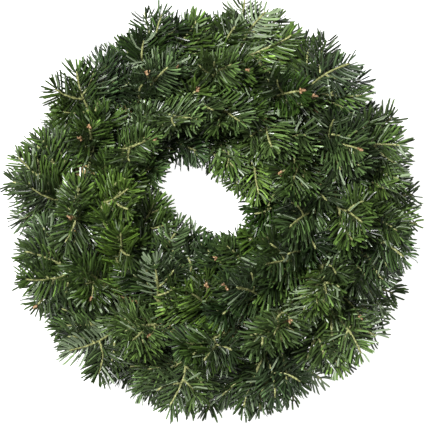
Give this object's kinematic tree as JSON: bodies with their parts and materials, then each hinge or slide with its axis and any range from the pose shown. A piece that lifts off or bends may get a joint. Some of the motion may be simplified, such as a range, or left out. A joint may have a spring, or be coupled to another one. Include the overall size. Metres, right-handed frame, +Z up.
{
  "type": "advent wreath",
  "caption": "Round advent wreath of green fir sprays bound with wire on a straw ring, lying flat, with an open middle.",
  "frame": {"origin": "middle of the wreath's outline, on the surface that it lies on", "axes": "+Z up out of the surface, +Y towards the top of the wreath as it is seen from above, +X to the right"},
  "size_m": [0.4247, 0.4118, 0.1174],
  "materials": {
    "straw": "matt pressed straw",
    "wire": "dark green lacquer",
    "fir": "waxy green needles on straw-brown twigs"
  },
  "bodies": {
    "root": {"straw_ring": "straw", "binding_wire": "wire", "skirt_spray_01": "fir", "skirt_spray_02": "fir", "skirt_spray_03": "fir", "skirt_spray_04": "fir", "skirt_spray_05": "fir", "skirt_spray_06": "fir", "skirt_spray_07": "fir", "skirt_spray_08": "fir", "skirt_spray_09": "fir", "skirt_spray_10": "fir", "skirt_spray_11": "fir", "skirt_spray_12": "fir", "shoulder_spray_01": "fir", "shoulder_spray_02": "fir", "shoulder_spray_03": "fir", "shoulder_spray_04": "fir", "shoulder_spray_05": "fir", "shoulder_spray_06": "fir", "shoulder_spray_07": "fir", "shoulder_spray_08": "fir", "shoulder_spray_09": "fir", "shoulder_spray_10": "fir", "shoulder_spray_11": "fir", "shoulder_spray_12": "fir", "crown_spray_01": "fir", "crown_spray_02": "fir", "crown_spray_03": "fir", "crown_spray_04": "fir", "crown_spray_05": "fir", "crown_spray_06": "fir", "crown_spray_07": "fir", "crown_spray_08": "fir", "crown_spray_09": "fir", "crown_spray_10": "fir", "crown_spray_11": "fir", "crown_spray_12": "fir", "inner_spray_01": "fir", "inner_spray_02": "fir", "inner_spray_03": "fir", "inner_spray_04": "fir", "inner_spray_05": "fir", "inner_spray_06": "fir", "inner_spray_07": "fir", "inner_spray_08": "fir", "inner_spray_09": "fir", "inner_spray_10": "fir", "inner_spray_11": "fir", "inner_spray_12": "fir", "wall_spray_01": "fir", "wall_spray_02": "fir", "wall_spray_03": "fir", "wall_spray_04": "fir", "wall_spray_05": "fir", "wall_spray_06": "fir", "wall_spray_07": "fir", "wall_spray_08": "fir", "wall_spray_09": "fir", "wall_spray_10": "fir"}
  },
  "joints": []
}
